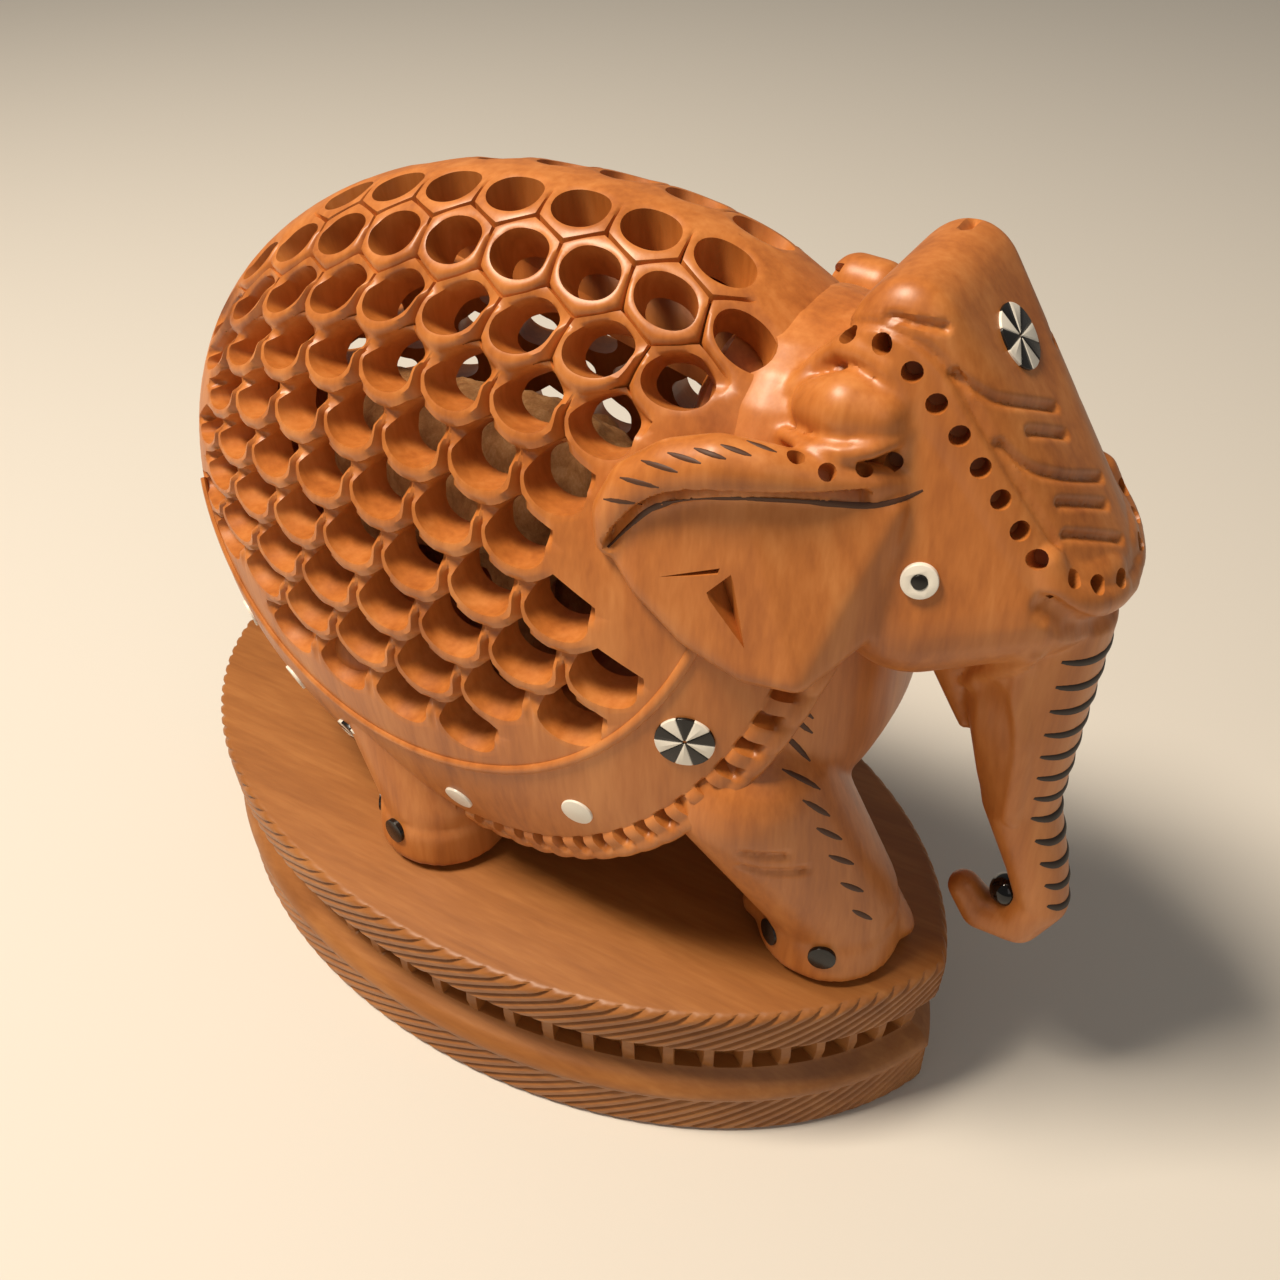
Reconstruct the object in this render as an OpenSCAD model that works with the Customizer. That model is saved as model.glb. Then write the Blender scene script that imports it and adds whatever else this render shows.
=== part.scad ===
// Carved wooden elephant with an undercut lattice saddle cloth, on an oval pedestal.
// +X toward the head, +Z up, origin under the middle of the pedestal, millimetres.

/* [Pedestal] */
// length of the pedestal from tip to tip
pedestal_len = 150; // [130:1:180]
// width of the pedestal
pedestal_wid = 84; // [74:1:100]
// height of the pedestal
pedestal_h = 30; // [24:0.5:36]
// turn of the pedestal under the figure, in degrees
pedestal_turn = -4.8; // [-8:0.2:8]
// height of the upper tier
upper_tier_h = 8; // [6:0.5:10]
// height of the lower tier
lower_tier_h = 9.5; // [6:0.5:11]
// how far the waist stands back from the tiers
waist_inset = 4; // [2:0.5:7]
// number of square notches on each side of the waist
notch_count = 24; // [16:1:30]
// width of one waist notch
notch_w = 4.2; // [2:0.2:4.6]
// depth of one waist notch
notch_d = 2.4; // [1:0.2:4]

/* [Body] */
// widest section of the barrel, measured along X
body_x = 8; // [4:1:14]
// height of the widest level above the pedestal
body_mid_h = 45.7; // [42:0.1:49]
// half width of the barrel
body_half_w = 32; // [28:0.5:36]
// rise of the back above the widest level
back_rise = 57.4; // [52:0.1:62]
// length of the barrel behind the widest section
body_rear = 68; // [62:1:74]
// length of the barrel ahead of the widest section
body_front = 54; // [50:1:58]
// depth of the belly below the widest level
belly_drop = 30; // [26:0.5:33]

/* [Saddle cloth] */
// thickness of the cloth over the skin
cloth_t = 2; // [1:0.2:3]
// half length of the cloth flap
hem_half_len = 66; // [62:0.5:70]
// drop of the flap below the level of its widest part
hem_drop = 68; // [64:0.5:71]
// half length of the lattice field
field_half_len = 50.5; // [46:0.5:54]
// drop of the lattice field below the level of its widest part
field_drop = 46.8; // [42:0.1:50]

/* [Lattice] */
// thickness of the lattice wall
wall_t = 5.5; // [4:0.25:7]
// distance between holes along the uppermost row
hole_pitch = 9.35; // [9:0.05:10.5]
// distance between rows of holes, measured along the skin
row_pitch = 8.2; // [7.8:0.1:9]
// width of a hole at the outer face
hole_w = 7.8; // [6.5:0.1:7.9]
// height of the cage floor above the pedestal
floor_h = 25; // [22:0.5:28]

/* [Head] */
// half width of the crown
crown_half_w = 13.5; // [11:0.5:15]
// rise of the crown above the middle of the head
crown_rise = 29.3; // [27:0.1:32]
// radius of the trunk where it leaves the head
trunk_r = 8.6; // [7.5:0.1:10]
// radius of the trunk near its tip
trunk_tip_r = 2.7; // [2.2:0.1:3]
// half width across the cheeks
cheek_half_w = 19; // [17:0.5:21]
// thickness radius of the ear edge
ear_r = 3.2; // [2.4:0.2:4]

/* [Legs] */
// radius of a foot
foot_r = 10.75; // [8.5:0.25:12]
// radius of the upper leg
thigh_r = 12; // [10:0.25:14]

/* [Inlays] */
// radius of a roundel
roundel_r = 3.8; // [3:0.1:4.4]
// radius of a white stud
stud_r = 2.3; // [1.8:0.1:2.8]
// radius of an eye disc
eye_r = 2.1; // [1.7:0.1:2.6]
// radius of a pupil
pupil_r = 0.9; // [0.6:0.05:1.2]
// radius of a toenail disc
nail_r = 2; // [1.5:0.1:2.4]
// thickness of an inlay
inlay_t = 1.6; // [1.2:0.1:2.2]
// radius of the ball in the curl of the trunk
ball_r = 2.4; // [2:0.1:2.6]
// free space round an inlay in its socket
inlay_gap = 0.06; // [0.03:0.01:0.15]

/* [Hidden] */

body_z = pedestal_h + body_mid_h;
// offsets inside the body and inside the head follow these two sizes
body_unit = body_half_w / 32;
head_unit = cheek_half_w / 19;
hem_x = body_x - 15 * body_unit;
hem_z = body_z + 30 * body_unit;
floor_z = pedestal_h + floor_h;
flank_drop = body_mid_h - body_unit;
tunnel_half_w = 17 * body_unit;
tunnel_top_z = floor_z - 9 * body_unit;
head_x = body_x + body_front;
head_z = body_z + 28.3 * body_unit;
wood = "#b5733c";
light = "#ece4d2";
dark = "#26211d";

// section scale of the barrel at a place along X
function section(x, rear, front) =
  x < body_x ? sqrt(max(0, 1 - pow((body_x - x) / rear, 2)))
  : pow(max(0, 1 - pow((x - body_x) / front, 2.6)), 1 / 2.6);
function sgn_pow(v, e) = sign(v) * pow(abs(v), e);
// a point of the barrel, at a turn measured from the right-hand horizontal
function barrel_point(x, turn, off, drop) =
  let (s = max(0.03, section(x, body_rear - off, body_front - off)))
  let (e = sin(turn) > 0 ? 1 : 0.72)
  let (rise = sin(turn) > 0 ? back_rise - off : drop)
  [x, (body_half_w - off) * s * sgn_pow(cos(turn), e), body_z + rise * s * sgn_pow(sin(turn), e)];
// half width of the flank at a place along X and a level
function flank_y(x, z) =
  let (s = section(x, body_rear, body_front))
  let (p = z > body_z ? 2 : 2 / 0.72)
  let (q = (z > body_z ? z - body_z : body_z - z) / ((z > body_z ? back_rise : flank_drop) * s))
  body_half_w * s * pow(max(0, 1 - pow(q, p)), 1 / p);
function flank_spot(x, z, side) = [x, side * flank_y(x, z), z];
function flank_out(x, z, side) =
  [flank_y(x - 0.5, z) - flank_y(x + 0.5, z), side, flank_y(x, z - 0.5) - flank_y(x, z + 0.5)];
function unit(v) = v / norm(v);
// level of the cloth hem and of the lower edge of the lattice field at a place along X
function hem_level(x) = hem_z - hem_drop * sqrt(max(0, 1 - pow((x - hem_x) / hem_half_len, 2)));
function field_level(x) = hem_z - field_drop * sqrt(max(0, 1 - pow((x - hem_x) / field_half_len, 2)));
function band_level(x) = (hem_level(x) + field_level(x)) / 2;

// skin through rings of equal length, each half a step round from the last, closed at both ends
module loft(rings) {
  n = len(rings[0]);
  m = len(rings);
  sides = [for (j = [0 : m - 2], i = [0 : n - 1])
    let (a = j * n + i)
    let (a_next = j * n + (i + 1) % n)
    let (b = (j + 1) * n + i)
    let (b_next = (j + 1) * n + (i + 1) % n)
    each j % 2 == 0 ? [[a, a_next, b], [a_next, b_next, b]] : [[a, a_next, b_next], [a, b_next, b]]];
  caps = [[for (i = [n - 1 : -1 : 0]) i], [for (i = [0 : n - 1]) (m - 1) * n + i]];
  polyhedron([for (r = rings) each r], concat(sides, caps));
}

module barrel(off, drop, around, steps) {
  loft([for (k = [-steps : steps])
    let (x = body_x + sin(90 * k / steps) * (k < 0 ? body_rear - off : body_front - off))
    [for (i = [0 : around - 1])
      barrel_point(x, -360 * (i + (k + steps) % 2 / 2) / around, off, drop)]]);
}

module turned(spot, out) {
  translate(spot)
    rotate([0, acos(out[2] / norm(out)), atan2(out[1], out[0])])
      children();
}

module flap_outline(half_len, drop) {
  translate([hem_x, 0, hem_z])
    rotate([90, 0, 0])
      scale([half_len, drop, 1])
        cylinder(h = 4 * body_half_w, r = 1, center = true, $fn = 60);
  translate([hem_x - 1.5 * half_len, -2 * body_half_w, hem_z])
    cube([3 * half_len, 4 * body_half_w, 2 * back_rise]);
}

// holes are spaced by length of arc up and down from the widest level
arc_steps = [for (k = [0 : 60]) 90 - 2.2 * k];
arc_parts = [for (k = [1 : 60])
  norm(barrel_point(body_x, arc_steps[k], 0, flank_drop)
    - barrel_point(body_x, arc_steps[k - 1], 0, flank_drop))];
function arc_sum(k) = k == 0 ? 0 : arc_parts[k - 1] + arc_sum(k - 1);
arc_table = [for (k = [0 : 60]) [arc_sum(k), arc_steps[k]]];
level_table = [for (k = [60 : -1 : 0]) [arc_steps[k], arc_table[k][0]]];
level_arc = lookup(0, level_table);
// the ear and the neck bound the field at the front
function field_front(z) =
  z > head_z + 7 * head_unit ? head_x - 38 * head_unit + z - head_z
  : z > head_z - 13 * head_unit ? head_x - 35 * head_unit : head_x - 23 * head_unit;
function in_field(p) =
  p[2] > field_level(p[0]) + 0.35 * hole_w
  && abs(p[0] - hem_x) < field_half_len - 0.26 * hole_w
  && section(p[0], body_rear, body_front) > 0.6 && p[0] < field_front(p[2]);
// rows widen from the back down the flank, and the upper rows stand half a hole further forward
row_count = 10;
function row_arc(m) = (0.72 + m) * row_pitch;
function hole_x(m, i) =
  body_x - 20.8 * body_unit + (i + (m % 2 == 0 ? 0.5 : 0)) * (hole_pitch + 0.25 * body_unit * m)
  + 0.5 * hole_pitch * min(1, max(0, (3 - m) / 1.5));

module lattice_holes() {
  for (m = [0 : row_count - 1], i = [-5 : 6])
    let (x = hole_x(m, i))
    let (s = max(0.3, section(x, body_rear, body_front)))
    let (arc = level_arc - (level_arc - row_arc(m)) * pow(s, -0.12))
    let (turn = lookup(arc, arc_table))
    let (p = barrel_point(x, turn, 0, flank_drop))
    if (in_field(p) && arc * s > 0.44 * hole_w * pow(s, 0.75) + 0.6 * body_unit)
      let (e = 0.4)
      let (along = barrel_point(x + e, turn, 0, flank_drop) - barrel_point(x - e, turn, 0, flank_drop))
      let (down = barrel_point(x, turn - e, 0, flank_drop) - barrel_point(x, turn + e, 0, flank_drop))
      let (out = unit(cross(along, down)))
      for (side = [-1, 1])
        lattice_hole([p[0], side * p[1], p[2]], [out[0], side * out[1], out[2]], pow(s, 0.75));
}

module lattice_hole(spot, out, grow) {
  side_x = unit([1, 0, 0] - out * out[0]);
  side_up = cross(out, side_x);
  multmatrix([
    [side_x[0], side_up[0], out[0], spot[0]],
    [side_x[1], side_up[1], out[1], spot[1]],
    [side_x[2], side_up[2], out[2], spot[2]],
    [0, 0, 0, 1]])
    translate([0, 0, -wall_t - 1.5])
      rotate([0, 0, 30])
        cylinder(h = wall_t + 3, r1 = 0.38 * grow * hole_w, r2 = 0.56 * grow * hole_w, $fn = 6);
}

module cage_hollow() {
  intersection() {
    barrel(wall_t, flank_drop - wall_t, 14, 5);
    translate([body_x - 2 * body_rear, -2 * body_half_w, floor_z])
      cube([2 * body_rear + body_front - 16 * body_unit, 4 * body_half_w, 3 * back_rise]);
  }
}

module shell_body() {
  difference() {
    union() {
      barrel(cloth_t, belly_drop, 20, 6);
      difference() {
        intersection() {
          barrel(0, flank_drop, 30, 8);
          flap_outline(hem_half_len, hem_drop);
        }
        hull() {
          for (dx = [-1, 1])
            translate([body_x + dx * 2 * body_rear, 0, tunnel_top_z - tunnel_half_w * 0.6])
              scale([1, tunnel_half_w, tunnel_half_w * 0.6])
                sphere(r = 1, $fn = 20);
          translate([body_x - 2 * body_rear, -tunnel_half_w, 0])
            cube([4 * body_rear, 2 * tunnel_half_w, 1]);
        }
      }
    }
    cage_hollow();
    lattice_holes();
  }
}

module head_ball(p, r, n = 14) {
  translate([head_x + p[0], p[1], head_z + p[2]])
    scale(is_list(r) ? r : [r, r, r])
      sphere(r = 1, $fn = n);
}

module head() {
  hull() {
    for (side = [-1, 1]) {
      head_ball([-4.5 * head_unit, side * (crown_half_w - 4.7 * head_unit), crown_rise - 9.1 * head_unit],
        [7, 4.7, 9.1] * head_unit, 16);
      head_ball([0, side * (cheek_half_w - 10 * head_unit), -8 * head_unit], 10 * head_unit);
    }
    head_ball([9.3, 0, -5.1] * head_unit, [12.9, 15.4, 11.1] * head_unit);
  }
  hull() {
    head_ball([2, 0, -10] * head_unit, 9 * head_unit, 10);
    head_ball([4, 0, -18] * head_unit, 6 * head_unit, 10);
  }
  hull() {
    head_ball([4, 0, -18] * head_unit, 5.5 * head_unit, 10);
    head_ball([7, 0, -33] * head_unit, 1.8 * head_unit, 8);
  }
  hull() {
    head_ball([-18, 0, 2] * head_unit, [14, 20, 20] * head_unit, 10);
    head_ball([-4, 0, 2] * head_unit, [12, 15, 17] * head_unit, 10);
  }
}

// places and radii down the trunk, measured from the middle of the head
trunk_path = [[13.5 * head_unit, -8 * head_unit, trunk_r],
  [14.2 * head_unit, -27 * head_unit, trunk_r * 0.86],
  [16.1 * head_unit, -42 * head_unit, trunk_r * 0.61],
  [20.3 * head_unit, -53 * head_unit, trunk_r * 0.5],
  [22.4 * head_unit, -60 * head_unit, trunk_r * 0.43],
  [20 * head_unit, -66 * head_unit, trunk_tip_r * 1.3],
  [14.6 * head_unit, -67 * head_unit, trunk_tip_r * 1.1],
  [11.6 * head_unit, -63.5 * head_unit, trunk_tip_r * 0.9]];
curl_spot = [head_x + trunk_path[5][0], 0, head_z + trunk_path[5][1]];
ball_aim = unit([-0.5, 0, 1]);
ball_spot = curl_spot + ball_aim * (trunk_path[5][2] + 0.875 * ball_r);

module trunk() {
  for (k = [0 : len(trunk_path) - 2])
    hull()
      for (j = [k, k + 1])
        head_ball([trunk_path[j][0], 0, trunk_path[j][1]], trunk_path[j][2], k < 3 ? 12 : 10);
}

// the fold of the left ear stands higher than that of the right
module ear(side) {
  fold_y = side * (body_half_w - 7.5 * body_unit);
  hull() {
    head_ball([-20 * head_unit, fold_y, 8 * head_unit], ear_r, 10);
    head_ball([-30 * head_unit, side * (body_half_w - 6 * body_unit), 6 * head_unit], ear_r, 10);
    head_ball([-32 * head_unit, side * (body_half_w - 6 * body_unit), head_unit], ear_r, 10);
    head_ball([-4 * head_unit, side * (cheek_half_w - head_unit), 7 * head_unit], ear_r, 10);
    head_ball([-8 * head_unit, side * cheek_half_w, 11 * head_unit], ear_r, 10);
  }
  if (side > 0)
    hull() {
      head_ball([-20 * head_unit, fold_y, 8 * head_unit], ear_r, 10);
      head_ball([-20.5 * head_unit, fold_y - 4 * body_unit, 14 * head_unit], 1.4 * ear_r, 10);
    }
  hull() {
    head_ball([-30 * head_unit, side * (body_half_w - 6 * body_unit), head_unit], ear_r * 0.9, 10);
    head_ball([-24 * head_unit, side * (body_half_w - 5 * body_unit), -6 * head_unit], ear_r * 0.8, 10);
    head_ball([-9 * head_unit, side * (body_half_w - 6 * body_unit), -12 * head_unit], ear_r * 0.9, 10);
    head_ball([-3 * head_unit, side * (cheek_half_w - head_unit), 6 * head_unit], ear_r, 10);
  }
  head_ball([-7.7 * head_unit, side * (cheek_half_w - 3.5 * head_unit), 16 * head_unit],
    [1.9, 1.6, 1.5] * ear_r, 10);
}

// foot place and top place of each leg, the right side stepping forward
right_front = [[head_x - 5 * body_unit, -9.5 * body_unit], [head_x - 16 * body_unit, -16.6 * body_unit]];
left_front = [[head_x - 26 * body_unit, 16 * body_unit], [head_x - 25 * body_unit, 16 * body_unit]];
right_rear = [[body_x - 14 * body_unit, -20.5 * body_unit], [body_x - 24 * body_unit, -16 * body_unit]];
left_rear = [[body_x - 42 * body_unit, 16.6 * body_unit], [body_x - 40 * body_unit, 14.7 * body_unit]];

module leg(spots) {
  foot = [spots[0][0], spots[0][1], pedestal_h];
  translate(foot)
    cylinder(h = 0.85 * foot_r, r1 = foot_r, r2 = 0.93 * foot_r, $fn = 20);
  hull() {
    translate(foot + [0, 0, 0.85 * foot_r])
      sphere(r = 0.9 * foot_r, $fn = 14);
    translate([spots[1][0], spots[1][1], pedestal_h + 34 * body_unit])
      sphere(r = thigh_r, $fn = 12);
  }
}

// two discs on the outer side of a foot, the first led forward or back, the second behind it
module nail_place(spots, side, lead) {
  for (step = [0, 1])
    let (turn = side * (90 - lead + 52 * step))
    let (out = 0.955 * foot_r)
    let (rise = (0.6 - 0.12 * step) * foot_r)
    turned([spots[0][0] + cos(turn) * out, spots[0][1] + sin(turn) * out, pedestal_h + rise],
      [cos(turn), sin(turn), 0.08])
      children();
}
front_lead = 17;
rear_lead = -12;

module socket(r) {
  translate([0, 0, -inlay_t + 0.3])
    cylinder(h = 3 * inlay_t, r = (r + inlay_gap) / cos(22.5), $fn = 8);
}

front_roundel_x = body_x + 34 * body_unit;
rear_roundel_x = body_x - 25 * body_unit;
stud_xs = [body_x + 19 * body_unit, body_x - 3 * body_unit, body_x - 39 * body_unit, body_x - 50 * body_unit];
module flank_place(x, side) {
  turned(flank_spot(x, band_level(x), side), flank_out(x, band_level(x), side))
    children();
}
module stud_place(side) {
  for (x = stud_xs)
    flank_place(x, side)
      children();
}
// the forehead, the eyes and the level surfaces they are let into
module forehead_place() {
  turned([head_x + 4.6 * head_unit, 0, head_z + crown_rise - 8.1 * head_unit], [cos(37.4), 0, sin(37.4)])
    children();
}
module eye_place(side) {
  turned([head_x + 3 * head_unit, side * (cheek_half_w - 1.6 * head_unit), head_z - 0.6 * head_unit],
    [0.3, side, 0.2])
    children();
}

module elephant_body() {
  color(wood)
    difference() {
      union() {
        shell_body();
        head();
        trunk();
        for (side = [-1, 1])
          ear(side);
        for (spots = [right_front, left_front, right_rear, left_rear])
          leg(spots);
      }
      translate(ball_spot)
        sphere(r = ball_r + inlay_gap, $fn = 12);
      forehead_place()
        socket(roundel_r);
      for (side = [-1, 1]) {
        eye_place(side)
          socket(eye_r);
        flank_place(front_roundel_x, side)
          socket(roundel_r);
        flank_place(rear_roundel_x, side)
          socket(roundel_r);
        stud_place(side)
          socket(stud_r);
      }
      nail_place(right_front, -1, front_lead)
        socket(nail_r);
      nail_place(left_front, 1, front_lead)
        socket(nail_r);
      nail_place(right_rear, -1, rear_lead)
        socket(nail_r);
      nail_place(left_rear, 1, rear_lead)
        socket(nail_r);
    }
}

// pointed oval, where two ellipses overlap
module oval(inset, h) {
  lift = 0.14 * pedestal_wid;
  half_w = pedestal_wid / 2 - inset + lift;
  half_l = (pedestal_len / 2 - inset) / sqrt(1 - pow(lift / half_w, 2));
  intersection_for (side = [-1, 1])
    translate([0, side * lift, 0])
      scale([half_l, half_w, 1])
        cylinder(h = h, r = 1, $fn = 96);
}

module pedestal() {
  color(wood)
    rotate([0, 0, pedestal_turn])
      difference() {
        union() {
          oval(1.2, lower_tier_h);
          oval(waist_inset, pedestal_h - 1);
          translate([0, 0, pedestal_h - upper_tier_h])
            oval(0, upper_tier_h);
        }
        waist_notches();
      }
}

module waist_notches() {
  waist_h = pedestal_h - upper_tier_h - lower_tier_h;
  lift = 0.14 * pedestal_wid;
  half_w = pedestal_wid / 2 - waist_inset + lift;
  half_l = (pedestal_len / 2 - waist_inset) / sqrt(1 - pow(lift / half_w, 2));
  reach = acos(0.9);
  for (side = [-1, 1], k = [0 : notch_count - 1])
    let (turn = reach + (180 - 2 * reach) * (k + 0.5) / notch_count)
    translate([half_l * cos(turn), side * (half_w * sin(turn) - lift), lower_tier_h + waist_h * 0.3])
      rotate([0, 0, side * (atan2(half_l * sin(turn), half_w * cos(turn)))])
        translate([-notch_d, -notch_w / 2, 0])
          cube([3 * notch_d, notch_w, waist_h * 0.45]);
}

module inner_elephant() {
  color(wood) {
    hull() {
      inner_ball([-16, 0, 30], [13, 12, 14]);
      inner_ball([8, 0, 31], [13, 12, 15]);
    }
    hull() {
      inner_ball([16, 0, 34], [11, 9, 11]);
      inner_ball([21, 0, 29], [7, 6, 8]);
    }
    hull() {
      inner_ball([24, 0, 28], [4, 4, 5]);
      inner_ball([24, 0, 12], [3, 3, 3]);
    }
    for (dx = [-18, 8], side = [-1, 1])
      hull() {
        inner_ball([dx, side * 5, 24], [6, 5, 6]);
        translate([body_x + (dx - 14) * body_unit, side * 7 * body_unit, floor_z])
          cylinder(h = 2 * body_unit, r = 5 * body_unit, $fn = 10);
      }
    for (side = [-1, 1])
      hull() {
        inner_ball([14, side * 9, 36], [4, 2, 5]);
        inner_ball([6, side * 12, 30], [3, 2, 4]);
      }
  }
}

// the figure in the cage is laid out in steps of the barrel's width
module inner_ball(p, r) {
  translate([body_x - 14 * body_unit, 0, floor_z] + p * body_unit)
    scale(r * body_unit)
      sphere(r = 1, $fn = 12);
}

module trunk_ball() {
  color(dark)
    translate(ball_spot)
      sphere(r = ball_r, $fn = 48);
}

module disc(r) {
  translate([0, 0, -inlay_t + 0.3])
    cylinder(h = inlay_t, r = r, $fn = 48);
}

module eye(side) {
  color(light)
    eye_place(side)
      difference() {
        disc(eye_r);
        translate([0, 0, -0.5])
          cylinder(h = inlay_t, r = pupil_r, $fn = 48);
      }
}

module pupil(side) {
  color(dark)
    eye_place(side)
      translate([0, 0, -0.5])
        cylinder(h = 0.9, r = pupil_r - 0.02, $fn = 48);
}

// five wedges of a roundel, the other five fill the spaces between
module wedges(start) {
  far = 2 * roundel_r;
  for (k = [0 : 4])
    rotate([0, 0, start + 72 * k])
      translate([0, 0, -inlay_t + 0.3])
        intersection() {
          difference() {
            cylinder(h = inlay_t, r = roundel_r, $fn = 48);
            translate([0, 0, -1])
              cylinder(h = inlay_t + 2, r = 0.3, $fn = 24);
          }
          linear_extrude(inlay_t)
            polygon([[0.02, 0], [far, far * tan(17.7)], [far, -far * tan(17.7)]]);
        }
}

module flank_roundel(x, side, start, tone) {
  color(tone)
    flank_place(x, side)
      wedges(start);
}

module forehead_roundel(start, tone) {
  color(tone)
    forehead_place()
      wedges(start);
}

module studs(side) {
  color(light)
    stud_place(side)
      disc(stud_r);
}

module nails(spots, side, lead) {
  color(dark)
    nail_place(spots, side, lead)
      disc(nail_r);
}

elephant_body();
pedestal();
inner_elephant();
trunk_ball();
eye(-1);  // eye_right
eye(1);  // eye_left
pupil(-1);  // pupil_right
pupil(1);  // pupil_left
forehead_roundel(0, light);  // forehead_roundel_white
forehead_roundel(36, dark);  // forehead_roundel_black
flank_roundel(front_roundel_x, -1, 0, light);  // front_roundel_right_white
flank_roundel(front_roundel_x, -1, 36, dark);  // front_roundel_right_black
flank_roundel(front_roundel_x, 1, 0, light);  // front_roundel_left_white
flank_roundel(front_roundel_x, 1, 36, dark);  // front_roundel_left_black
flank_roundel(rear_roundel_x, -1, 0, light);  // rear_roundel_right_white
flank_roundel(rear_roundel_x, -1, 36, dark);  // rear_roundel_right_black
flank_roundel(rear_roundel_x, 1, 0, light);  // rear_roundel_left_white
flank_roundel(rear_roundel_x, 1, 36, dark);  // rear_roundel_left_black
studs(-1);  // studs_right
studs(1);  // studs_left
nails(right_front, -1, front_lead);  // nails_front_right
nails(left_front, 1, front_lead);  // nails_front_left
nails(right_rear, -1, rear_lead);  // nails_rear_right
nails(left_rear, 1, rear_lead);  // nails_rear_left
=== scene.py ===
import math
from bisect import bisect_right

import bmesh
import bpy
from mathutils import Matrix, Vector, noise
from mathutils.bvhtree import BVHTree
from mathutils.geometry import delaunay_2d_cdt
from mathutils.kdtree import KDTree


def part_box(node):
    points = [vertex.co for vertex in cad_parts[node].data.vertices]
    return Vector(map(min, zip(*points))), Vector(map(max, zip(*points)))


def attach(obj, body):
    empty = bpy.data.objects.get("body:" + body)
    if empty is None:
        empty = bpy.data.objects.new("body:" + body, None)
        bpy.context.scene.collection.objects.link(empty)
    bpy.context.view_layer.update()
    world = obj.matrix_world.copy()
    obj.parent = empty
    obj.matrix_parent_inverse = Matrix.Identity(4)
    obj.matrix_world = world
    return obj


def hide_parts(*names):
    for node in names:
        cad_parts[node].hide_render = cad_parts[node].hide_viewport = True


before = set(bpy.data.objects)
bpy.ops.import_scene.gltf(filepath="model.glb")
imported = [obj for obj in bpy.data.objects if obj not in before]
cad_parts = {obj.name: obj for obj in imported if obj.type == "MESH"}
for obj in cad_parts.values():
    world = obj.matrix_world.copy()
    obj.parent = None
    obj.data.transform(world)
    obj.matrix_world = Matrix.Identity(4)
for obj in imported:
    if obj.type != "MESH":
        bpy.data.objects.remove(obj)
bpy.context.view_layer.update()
print("frame loaded")

# where the photograph was taken from, in metres and degrees
view = {"azimuth": 31.0, "elevation": 39.0, "roll": -0.8, "spot": (0.0966, -0.12912, 0.18648), "lens": 36.08}


# materials
def linear(text):
    parts = [int(text[k:k + 2], 16) / 255 for k in (1, 3, 5)]
    return [v / 12.92 if v < 0.04045 else ((v + 0.055) / 1.055) ** 2.4 for v in parts] + [1.0]


def addNode(tree, kind, inputs=None, **settings):
    made = tree.nodes.new(kind)
    for key, value in settings.items():
        setattr(made, key, value)
    for key, value in (inputs or {}).items():
        if isinstance(value, bpy.types.NodeSocket):
            tree.links.new(value, made.inputs[key])
        else:
            made.inputs[key].default_value = value
    return made


def surface(name, colour, rough, **more):
    made = bpy.data.materials.new(name)
    made.use_nodes = True
    shader = made.node_tree.nodes["Principled BSDF"]
    shader.inputs["Base Color"].default_value = linear(colour)
    shader.inputs["Roughness"].default_value = rough
    for key, value in more.items():
        shader.inputs[key].default_value = value
    return made, made.node_tree, shader


def ramp(tree, factor, stops):
    made = addNode(tree, "ShaderNodeValToRGB", {"Fac": factor})
    bar = made.color_ramp
    while len(bar.elements) < len(stops):
        bar.elements.new(0.5)
    for element, (at, colour) in zip(bar.elements, stops):
        element.position = at
        element.color = linear(colour)
    return made.outputs["Color"]


def timber(name, tones, rough, streak, along, bumpDepth):
    made, tree, shader = surface(name, tones[1], rough)
    spot = addNode(tree, "ShaderNodeTexCoord").outputs["Object"]
    grain = addNode(tree, "ShaderNodeMapping", {"Vector": spot, "Scale": along})
    bands = addNode(tree, "ShaderNodeTexNoise", {
        "Vector": grain.outputs[0], "Scale": 1000 / streak, "Detail": 3.0, "Roughness": 0.55,
        "Distortion": 0.6})
    pores = addNode(tree, "ShaderNodeTexNoise", {
        "Vector": grain.outputs[0], "Scale": 1000 / (streak * 0.14), "Detail": 2.0, "Roughness": 0.6})
    both = addNode(tree, "ShaderNodeMix", {
        "Factor": 0.3, "A": bands.outputs["Fac"], "B": pores.outputs["Fac"]}, data_type="FLOAT")
    colour = ramp(tree, both.outputs[0], [(0.3, tones[0]), (0.5, tones[1]), (0.7, tones[2])])
    tree.links.new(colour, shader.inputs["Base Color"])
    bump = addNode(tree, "ShaderNodeBump", {
        "Height": pores.outputs["Fac"], "Strength": 0.25, "Distance": bumpDepth * 0.001})
    tree.links.new(bump.outputs[0], shader.inputs["Normal"])
    return made


carvedWood = timber("carved satin wood", ("#9c5722", "#b96f31", "#cc8445"), 0.4, 7.0,
                    (1, 1, 0.12), 0.06)  # waxed
boardWood = timber("pedestal wood", ("#86501f", "#985f2a", "#aa7038"), 0.46, 6.0,
                   (0.12, 1, 1), 0.06)  # grain runs along the pedestal
hollowShadeWood = timber("painted shade inside the hollows", ("#582a10", "#703c1a", "#86512b"), 0.5, 7.0,
                    (1, 1, 0.12), 0.06)  # painted shade: darker wood for the deeper hole walls
roughLitInnerWood = timber("rough inner wood with painted light", ("#9a6638", "#bb8650", "#d2a470"), 0.8, 2.0,
                   (1, 1, 0.5), 0.5)  # left unsanded, and lightened as painted light on the figure inside the cage
burntMark, _, _ = surface("burnt line", "#241408", 0.55)  # dark bars down the trunk
cutShadeMark, _, _ = surface("painted shade in cuts", "#4c2a12", 0.6)  # painted shade: dark strips for the shadow in thin knife strokes on ears and legs
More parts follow.
